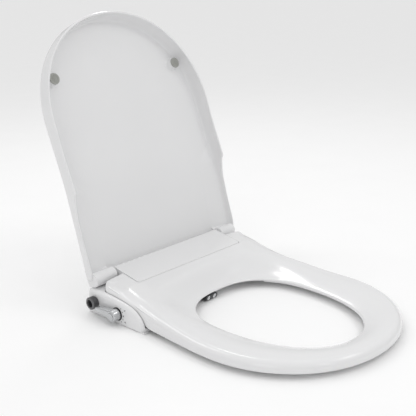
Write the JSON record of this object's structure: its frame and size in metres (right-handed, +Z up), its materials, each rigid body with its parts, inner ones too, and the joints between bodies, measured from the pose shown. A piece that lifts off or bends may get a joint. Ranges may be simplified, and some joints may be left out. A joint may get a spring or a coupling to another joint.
{
  "type": "bidet seat",
  "caption": "Water-pressure bidet toilet seat with hinged lid, hinged seat ring, side control wing with lever valve, retracting nozzles and quick-release base.",
  "frame": {"origin": "middle of the bolt line between the two mounting slots, on the underside of the mounting plate, where it lies on the bowl", "axes": "+Z up, -Y towards the front of the seat, +X towards the release button's side; the control wing is on the -X side"},
  "size_m": [0.3744, 0.5999, 0.469],
  "materials": {
    "white_plastic": "gloss",
    "inner_plastic": "matt",
    "dark_plastic": "satin",
    "nozzle_plastic": "gloss",
    "tip_plastic": "gloss",
    "button_plastic": "satin",
    "satin_lever": "satin silver coating",
    "steel": "brushed",
    "inlet_metal": "satin",
    "bumper_rubber": "matt, fine rings",
    "hose_plastic": "satin, translucent"
  },
  "bodies": {
    "base": {"mounting_plate": "dark_plastic", "base_housing": "white_plastic", "base_cover": "white_plastic", "nozzle_housing": "nozzle_plastic", "nozzle_manifold": "inner_plastic", "rear_wash_hose": "hose_plastic", "front_wash_hose": "hose_plastic", "release_spring": "steel", "release_spring_seat": "inner_plastic", "damper_left": "dark_plastic", "damper_right": "dark_plastic", "control_wing": "white_plastic", "dial_ring": "dark_plastic", "valve_body": "inner_plastic", "inlet_nipple": "inlet_metal", "inlet_filter": "steel"},
    "lever": {"lever_handle": "satin_lever", "lever_cap": "satin_lever", "valve_spindle": "steel", "valve_disc": "inner_plastic"},
    "rear_nozzle": {"rear_nozzle_tube": "nozzle_plastic", "rear_nozzle_tip": "tip_plastic"},
    "front_nozzle": {"front_nozzle_tube": "nozzle_plastic", "front_nozzle_tip": "tip_plastic"},
    "seat": {"seat_top": "white_plastic", "seat_bottom": "white_plastic", "seat_bumper_1": "bumper_rubber", "seat_bumper_2": "bumper_rubber", "seat_bumper_3": "bumper_rubber", "seat_bumper_4": "bumper_rubber", "damper_shaft_right": "steel"},
    "lid": {"lid_shell": "white_plastic", "lid_bumper_left": "bumper_rubber", "lid_bumper_right": "bumper_rubber", "damper_shaft_left": "steel"},
    "button": {"release_button": "button_plastic"}
  },
  "joints": [
    {"name": "lid_hinge", "type": "hinge", "parent": "base", "child": "lid", "pos_m": [0, 0.026, 0.0545], "axis": [-1, 0, 0], "range_deg": [-112, 0]},
    {"name": "seat_hinge", "type": "hinge", "parent": "base", "child": "seat", "pos_m": [0, 0.026, 0.0545], "axis": [-1, 0, 0], "range_deg": [0, 95]},
    {"name": "lever_turn", "type": "hinge", "parent": "base", "child": "lever", "pos_m": [-0.178, -0.038, 0.017], "axis": [1, 0, 0], "range_deg": [-50, 50]},
    {"name": "rear_nozzle_slide", "type": "slide", "parent": "base", "child": "rear_nozzle", "axis": [0, -0.9848, -0.1736], "range_m": [0, 0.04], "stiffness_N_per_m": 20, "springref_m": -0.02},
    {"name": "front_nozzle_slide", "type": "slide", "parent": "base", "child": "front_nozzle", "axis": [0, -0.9848, -0.1736], "range_m": [0, 0.04], "stiffness_N_per_m": 20, "springref_m": -0.02},
    {"name": "release_button_push", "type": "slide", "parent": "base", "child": "button", "axis": [-1, 0, 0], "range_m": [0, 0.003], "stiffness_N_per_m": 500, "springref_m": -0.002}
  ]
}
